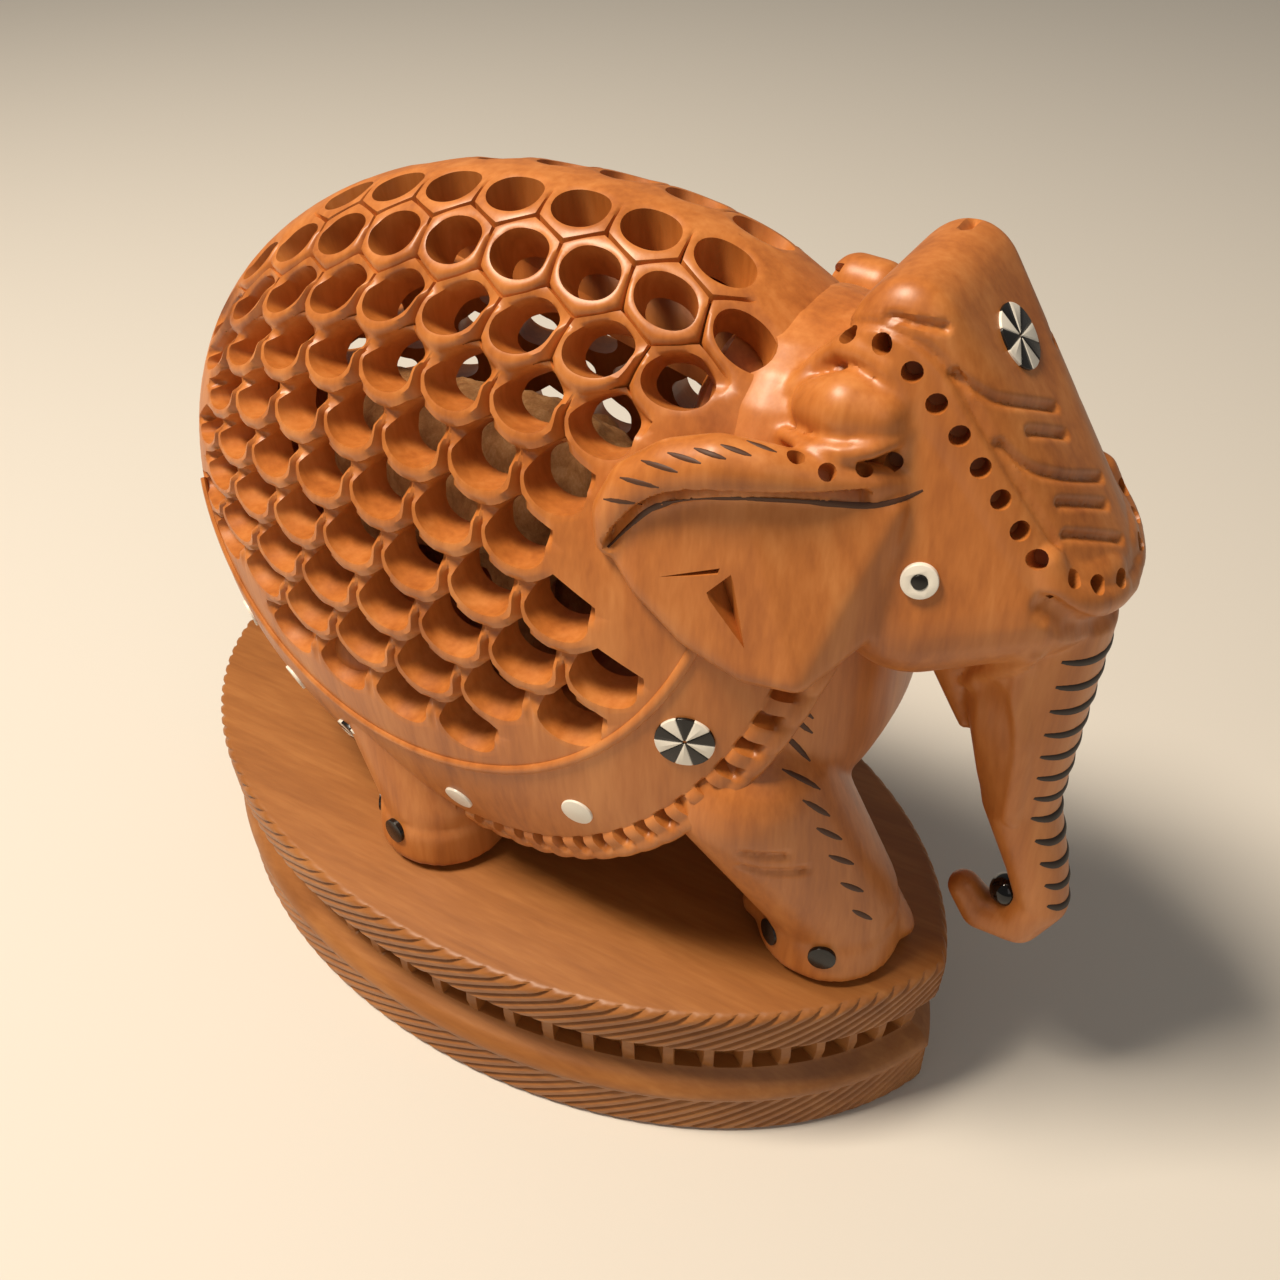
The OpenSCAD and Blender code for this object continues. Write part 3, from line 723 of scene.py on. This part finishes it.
# (middle, radius) of the balls that make up each ear and what stands beside it
ear = {
    "fold": [((31.5, 26.8, 103.2), 2.0), ((31.8, 26.2, 106.8), 2.8), ((34.2, 25.6, 110.6), 3.3),
             ((38.5, 24.9, 113.6), 3.5), ((43.6, 24.3, 115.4), 3.4), ((48.5, 22.8, 115.4), 2.9),
             ((53.5, 20.5, 114.6), 2.4), ((58.5, 17.3, 114.1), 2.0), ((61.5, 14.0, 113.3), 1.4)],
    "plate": [((42, 22.5, 111), 2.2), ((33, 24, 108), 2.2), ((31.5, 24.5, 104), 2.2), ((57, 17, 111), 2.2),
              ((53, 18, 113), 2.2), ((44, 14, 106), 6)],
    "lobe": [((32.5, 26.2, 102.5), 1.8), ((36, 27, 99), 2.0), ((42, 26.8, 94), 2.0), ((49, 26, 91.5), 2.4),
             ((54.5, 25, 91.5), 2.4), ((59, 18.5, 96), 2.4), ((60.5, 16.5, 111), 2.0),
             ((46, 22.6, 111.8), 2.0), ((35, 24.8, 108.6), 2.0)],
    "arch": [((46.8, 12.6, 119.6), 1.2), ((48.6, 10.6, 122.6), 1.3), ((51, 11.3, 125), 1.3),
             ((53.9, 12.4, 125.6), 1.3), ((56.9, 13.3, 124.8), 1.3), ((59.1, 13.8, 122.1), 1.2),
             ((60.2, 14.3, 119.3), 1.1), ((60.1, 14.7, 117.2), 1.0)],
    "lid": [((47.6, 16.6, 116.2), 0.8), ((51.9, 19.4, 117.2), 1.0), ((55.3, 19.5, 117.6), 1.1),
            ((58.1, 18.3, 118.2), 1.0), ((60, 16, 118.6), 0.8)],
    "tusk": [((77, 10.5, 94), 1.8), ((73.3, 7, 87.4), 1.7), ((69.6, 3.8, 80.8), 1.2)],
    "lens": [((50.3, 14.2, 119.4), 3.0), ((53.8, 14.9, 120.2), 4.1), ((57.2, 14.8, 120.3), 3.2)],
    "leftRise": [((39, 24.5, 113.5), 3.2), ((40.2, 20.5, 118), 3.7), ((43.6, 20, 118), 3.7),
                 ((49, 22, 115.5), 2.8)]}


def earBalls(key, side):
    return [(Vector((x, side * y, z)), r) for (x, y, z), r in ear[key]]


for side in (-1, 1):
    for key in ("fold", "arch", "lid", "tusk"):
        chain(bm, earBalls(key, side), 16)
    for key in ("plate", "lobe"):
        hullOf(bm, earBalls(key, side), 16)
    hullOf(bm, earBalls("lens", side), 24)
hullOf(bm, earBalls("leftRise", 1))  # the left fold stands higher
bm = bake(bm, [("REMESH", {"mode": "VOXEL", "voxel_size": head["voxel"]}),
               ("SMOOTH", {"iterations": 7, "factor": 0.5})])

# paths on the right side of the head, and the nick on the left of the crown
carving = {
    "strap": [(52.6, -11.6, 126.5), (57.4, -13.1, 127.1), (65.4, -12.9, 119.5), (77.7, -11, 104.5),
              (82.7, -3.9, 101.8)],
    "capEdge": [(49.6, -8.4, 125.2), (55.5, -12.5, 129.1), (62.6, -12, 126.2), (68.3, -11.4, 118.9),
                (76.8, -9.8, 107.6)],
    "folds": [[(63.7, -11.8, 125.2), (66.7, -10.2, 123.1), (68.8, -7.9, 121.7), (71.9, -0.2, 118.2)],
              [(69.3, -10.8, 118.3), (72.4, -9, 115.4), (75.4, -5, 113.1), (78, 1.6, 110.2)],
              [(75.9, -7.5, 111.4), (79.5, -0.4, 108.3)], [(77.3, -8.4, 108.3), (82, -0.9, 104.8)],
              [(56.3, -12.2, 129.9), (61.7, -10.9, 129.6)], [(71.2, -7.1, 118.5), (73.7, -1.1, 115.8)]],
    "crease": [(32.3, -28.9, 103.6), (35.1, -28.5, 107.3), (38.3, -28.2, 110.6), (43.6, -27.1, 112.7),
               (52.1, -23.6, 113.1), (58.9, -20.4, 112.9)],
    "creaseEnd": [(61.1, -15.9, 111.8), (63.2, -15.1, 113.2)],
    "vee": [(36.8, -29.2, 100.8), (45.6, -26.4, 104), (45.4, -26.8, 102.9)],
    "recess": [(47, -26, 103.8), (44, -28, 100.5), (50.2, -28.6, 94.2)],
    "notches": [(51.2, -22, 116.8), (54.9, -21.6, 116.5), (57.6, -18.6, 115.9), (59.8, -15.6, 116)],
    "strokeTops": [(32, -29, 110), (35, -25.3, 114), (43.3, -17, 114.5)],
    "strokeEnds": [(36.6, -28.5, 110.5), (40.6, -25.6, 114.8), (49, -21.5, 117)],
    "nick": [(57.2, 6.3, 133.1), (57.4, 9.1, 133.1)],
    "ledge": [(76.6, -11, 106.0), (78.6, -11, 103.1), (81, -8.5, 101), (83, -4.9, 99.8), (84.2, 0, 98.8)],
    "underLedge": [(77.6, -11.4, 101.6), (79.4, -10.4, 99.2), (81.4, -8, 97.2), (83.2, -4.6, 96),
                   (84, 0, 95.2)],
    "trunkEdge": [(76.1, -7.9, 90), (76.3, -7.6, 83.6), (77.8, -6.8, 77.1), (78.3, -6, 69.7),
                  (78.4, -5.1, 61.5)],
    "trunkRear": [(73, -6.5, 82.5), (74.1, -6.8, 78.7), (74.4, -6, 71.3), (74.5, -3.7, 62)]}
press(bm, mirrored([carving["strap"]]), 2.8, -0.5, 1.0)
press(bm, mirrored([carving["capEdge"]]), 0.9, 0.5)
press(bm, mirrored([carving["crease"]]), 1.1, 2.0)
leftFolds = [[(x, -y, z) for x, y, z in path if y < -5] for path in carving["folds"]]
press(bm, carving["folds"] + [path for path in leftFolds if len(path) > 1], 0.9, 0.75)
press(bm, mirrored([carving["ledge"]]), 2.2, -1.0, 1.2)
press(bm, mirrored([carving["underLedge"]]), 2.4, 1.4)
press(bm, [carving["nick"]], 0.9, 1.1)
press(bm, mirrored([carving["trunkRear"]]), 3.0, 0.6, 1.0)
press(bm, mirrored([carving["trunkEdge"]]), 1.4, -0.4, 1.0)
shell = BVHTree.FromBMesh(bm)
# two low points of each wedge cut: shares of its three corners, then the height over the wood
wedges = {"recess": ((0.3, 0.68, 0.02, -3.0), (0.05, 0.5, 0.45, -2.6)),
          "vee": ((0.6, 0.2, 0.2, -0.8), (0.1, 0.6, 0.3, -1.6))}
holes = {"strapCount": 12, "strapR": 1.2, "strapDeep": 3.4, "notchR": 1.05, "notchDeep": 2.4}
cutters = emptyMesh()
for side in (1, -1):
    for x, y, z in evenly(carving["strap"], holes["strapCount"]):
        drill(cutters, shell, (x, side * y, z), holes["strapR"], holes["strapDeep"])
    for x, y, z in carving["notches"]:
        drill(cutters, shell, (x, side * y, z), holes["notchR"], holes["notchDeep"])
    for key, low in wedges.items():
        three = [shell.find_nearest(Vector((x, side * y, z)))[:2] for x, y, z in carving[key]]
        part = emptyMesh()
        for *shares, lift in ((1, 0, 0, 0.8), (0, 1, 0, 0.8), (0, 0, 1, 0.8)) + low:
            lifted = [(at + out * lift) * share for (at, out), share in zip(three, shares)]
            part.verts.new(sum(lifted, Vector()))
        bmesh.ops.convex_hull(part, input=part.verts[:])
        absorb(cutters, part)
    for cell in sorted(cells):  # keeps the neck out of the last holes
        u, arc = place(cell[0] / 2, cell[1])
        if u > 24 and cell[1] < 4:
            a, b = skin(u, arc, -3.0), skin(u, arc, 6.5)
            a, b = Vector((a.x, side * a.y, a.z)), Vector((b.x, side * b.y, b.z))
            turned = (a - b).to_track_quat("Z", "Y").to_matrix().to_4x4()
            bmesh.ops.create_cone(cutters, cap_ends=True, segments=24, radius1=3.3, radius2=3.6,
                                  depth=(a - b).length, matrix=Matrix.Translation((a + b) / 2) @ turned)
bm = carve(bm, cutters)
# painted shade: a dark strip along each ear crease groove
markAndShadeStrips("earCreases", shell, mirrored([carving["crease"] + carving["creaseEnd"]]), 0.4, cutShadeMark, True)
# painted shade: dark strips for the shadow in the incised strokes on each ear
earStrokes = [list(pair) for pair in zip(*(evenly(carving[key], 7) for key in ("strokeTops", "strokeEnds")))]
markAndShadeStrips("earStrokes", shell, mirrored(earStrokes), 0.3, cutShadeMark, True)
# dark stripes across the front of the trunk
bars = {"count": 12, "top": 90.6, "pitch": 4.0, "reach": 58.0, "sag": 1.0}


def trunkAt(z):  # middle and radius of the trunk at a height
    for (a, high, wide), (b, low, slim) in zip(trunkPath, trunkPath[1:]):
        if low <= z - headZ <= high:
            t = (z - headZ - high) / (low - high)
            return headX + mix(a, b, t), mix(wide, slim, t)


stripes = []
for k in range(bars["count"]):
    z = bars["top"] - k * bars["pitch"]
    x, r = trunkAt(z)
    stripe = []
    for share in (-1, -0.5, 0, 0.5, 1):
        t = math.radians(bars["reach"] * share)
        stripe.append((x + r * math.cos(t), r * math.sin(t), z - bars["sag"] * (1 - share ** 2)))
    stripes.append(stripe)
markAndShadeStrips("trunkStripes", shell, stripes, 0.75, burntMark)
asPiece("headAndTrunk", bm, carvedWood, ["elephant_body"])

# pedestal
board = {"long": 150.0, "wide": 84.0, "turn": -4.8, "lift": 0.14, "ropes": 55, "notches": 28, "slope": 0.5,
         "plainEnd": 15.15, "ropeDeep": 0.7, "notchDeep": 2.4}


def ovalLoop(inset, count, shift):
    lift = board["lift"] * board["wide"]
    halfW = board["wide"] / 2 - inset + lift
    halfL = (board["long"] / 2 - inset) / math.sqrt(1 - (lift / halfW) ** 2)
    start = math.asin(lift / halfW)
    made = []
    for k in range(2 * count):
        at = (k / count + shift) % 2.0
        side = 1 if at < 1 else -1
        turn = start + (math.pi - 2 * start) * (at % 1.0)
        made.append((Vector((side * halfL * math.cos(turn), side * (halfW * math.sin(turn) - lift))), turn))
    return made


def pedestalMesh(bm):
    count = board["ropes"] * 14
    # (height, inset, share of the rope strokes, share of the notches)
    profile = [(0, 0.9, 0, 0), (0.8, 0.35, 0.2, 0)] + [(1.4 + 0.75 * k, 0.3, 0.8, 0) for k in range(9)]
    profile += [(8.2, 0.35, 0.5, 0), (8.5, 0.2, 0, 0), (9.0, 0.05, 0, 0), (9.6, 0.15, 0, 0),
                (10.4, 0.6, 0, 0), (11.6, 1.7, 0, 0), (12.3, 3.1, 0, 0), (12.8, 3.5, 0, 0), (13.0, 3.5, 0, 1),
                (15, 3.2, 0, 1), (17, 3.2, 0, 1), (19.1, 3.5, 0, 1), (19.3, 3.6, 0, 0), (19.8, 3.6, 0, 0),
                (20.3, 3.0, 0, 0), (20.8, 1.3, 0, 0), (21.4, 0.6, 0.3, 0)]
    profile += [(22 + 0.6 * k, 0.35 - 0.03 * k, 0.9, 0) for k in range(12)]
    profile += [(29.1, 0.1, 0.9, 0), (29.6, 0.35, 0.6, 0), (29.9, 0.8, 0.3, 0), (30, 1.3, 0, 0)]
    reach = math.radians(board["plainEnd"])
    rings = []
    for z, inset, rope, notch in profile:
        ring = []
        # the columns of points follow the strokes
        shift = (min(z, 8.2) + max(0.0, z - 21.4)) * board["slope"] / board["ropes"]
        both = zip(ovalLoop(inset, count, shift), ovalLoop(inset + 1, count, shift))
        for k, ((plain, turn), (deeper, _)) in enumerate(both):
            stroke = abs(k % 14 - 7) / 7
            place01 = (turn - reach) / (math.pi - 2 * reach)
            beat = abs((place01 * board["notches"]) % 1.0 - 0.5) * 2 if 0 < place01 < 1 else 1.0
            deep = rope * board["ropeDeep"] * max(0.0, 1 - stroke / 0.6)
            deep += notch * board["notchDeep"] * (1 - smoothStep(beat, 0.58, 0.72))
            flat = plain.lerp(deeper, deep)
            if notch:
                flat += flat.normalized() * noise.noise(Vector((flat.x, flat.y, z)) * 0.9) * 0.3
            ring.append(bm.verts.new((flat.x, flat.y, z)))
        rings.append(ring)
    for p, q in zip(rings, rings[1:]):
        for k in range(2 * count):
            n = (k + 1) % (2 * count)
            bm.faces.new((p[k], p[n], q[n], q[k]))
    bm.faces.new(rings[0][::-1])
    bm.faces.new(rings[-1])
    turned = Matrix.Rotation(math.radians(board["turn"]), 3, "Z")
    bmesh.ops.rotate(bm, cent=(0, 0, 0), matrix=turned, verts=bm.verts[:])


bm = emptyMesh()
pedestalMesh(bm)
asPiece("pedestalBoard", bm, boardWood, ["pedestal"], 35)


# rough elephant inside the cage
bm = emptyMesh()
bm.from_mesh(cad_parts["inner_elephant"].data)
bmesh.ops.scale(bm, vec=(1000, 1000, 1000), verts=bm.verts[:])
bmesh.ops.remove_doubles(bm, verts=bm.verts[:], dist=0.01)
bm = bake(bm, [("REMESH", {"mode": "VOXEL", "voxel_size": 0.8})])
for v in bm.verts:
    v.co += v.normal * (noise.noise(v.co * 0.35) * 0.5 + noise.noise(v.co * 1.1) * 0.3 - 0.5)
asPiece("innerFigure", bm, roughLitInnerWood, ["inner_elephant"])


# inlays, each set where its node sits in the frame
def camel(node):
    first, *rest = node.split("_")
    return first + "".join(word.title() for word in rest)


def plainCopy(name, node, material, bevel):
    bm = emptyMesh()
    bm.from_mesh(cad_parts[node].data)
    bmesh.ops.scale(bm, vec=(1000, 1000, 1000), verts=bm.verts[:])
    bmesh.ops.remove_doubles(bm, verts=bm.verts[:], dist=0.002)
    bmesh.ops.dissolve_limit(bm, angle_limit=math.radians(2), verts=bm.verts[:], edges=bm.edges[:])
    if bevel:
        edges = [e for e in bm.edges if len(e.link_faces) == 2 and e.calc_face_angle() > math.radians(40)]
        bmesh.ops.bevel(bm, geom=edges, offset=bevel, offset_type="OFFSET", segments=2, profile=0.5,
                        affect="EDGES", material=-1)
    asPiece(name, bm, material, [node], 35)


inlays = {"white": ["eye_right", "eye_left", "forehead_roundel_white", "front_roundel_right_white",
                    "front_roundel_left_white", "rear_roundel_right_white", "rear_roundel_left_white",
                    "studs_right", "studs_left"],
          "black": ["pupil_right", "pupil_left", "forehead_roundel_black", "front_roundel_right_black",
                    "front_roundel_left_black", "rear_roundel_right_black", "rear_roundel_left_black",
                    "nails_front_right", "nails_front_left", "nails_rear_right", "nails_rear_left"]}
for node in inlays["white"]:
    plainCopy(camel(node), node, whiteInlay, 0.12)
for node in inlays["black"]:
    plainCopy(camel(node), node, blackInlay, 0.06)
low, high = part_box("trunk_ball")
bm = emptyMesh()
ball(bm, (low + high) * 500, (high.z - low.z) * 500, 48)
asPiece("trunkBead", bm, blackBead, ["trunk_ball"])

# floor, light and camera
floorMesh = bpy.data.meshes.new("floor")
floorHalf = 3.0
floorCorners = [(x * floorHalf, y * floorHalf, 0) for x, y in ((-1, -1), (1, -1), (1, 1), (-1, 1))]
floorMesh.from_pydata(floorCorners, [], [(0, 1, 2, 3)])
floor = bpy.data.objects.new("floor", floorMesh)
bpy.context.scene.collection.objects.link(floor)
floorMesh.materials.append(surface("pale floor", "#d9d6cf", 0.8)[0])

world = bpy.data.worlds.new("room")
bpy.context.scene.world = world
world.use_nodes = True
world.node_tree.nodes["Background"].inputs["Color"].default_value = linear("#f3eee6")
world.node_tree.nodes["Background"].inputs["Strength"].default_value = 0.2


def lamp(name, spot, aim, size, power, colour):
    data = bpy.data.lights.new(name, "AREA")
    data.size = size
    data.energy = power
    data.color = linear(colour)[:3]
    made = bpy.data.objects.new(name, data)
    made.location = spot
    made.rotation_mode = "QUATERNION"
    made.rotation_quaternion = (Vector(aim) - Vector(spot)).to_track_quat("-Z", "Y")
    bpy.context.scene.collection.objects.link(made)


middle = (0, 0, 0.07)  # what both lamps point at
lamp("key", (-0.27, -0.25, 0.83), middle, 0.22, 10.2, "#ffeed8")
lamp("fill", (0.6, -0.6, 0.6), middle, 0.6, 0.7, "#fff6ec")

camera = bpy.data.objects.new("camera", bpy.data.cameras.new("camera"))
bpy.context.scene.collection.objects.link(camera)
camera.data.sensor_width = 36.0
camera.data.lens = view["lens"]
camera.data.clip_start = 0.01
camera.location = view["spot"]
a, e = math.radians(view["azimuth"]), math.radians(view["elevation"])
back = Vector((math.sin(a) * math.cos(e), -math.cos(a) * math.cos(e), math.sin(e)))
camera.rotation_mode = "QUATERNION"
camera.rotation_quaternion = (-back).to_track_quat("-Z", "Y") @ Matrix.Rotation(
    math.radians(view["roll"]), 3, "Z").to_quaternion()
scene = bpy.context.scene
scene.camera = camera
scene.render.resolution_x = scene.render.resolution_y = 1280
scene.view_settings.view_transform = "Standard"
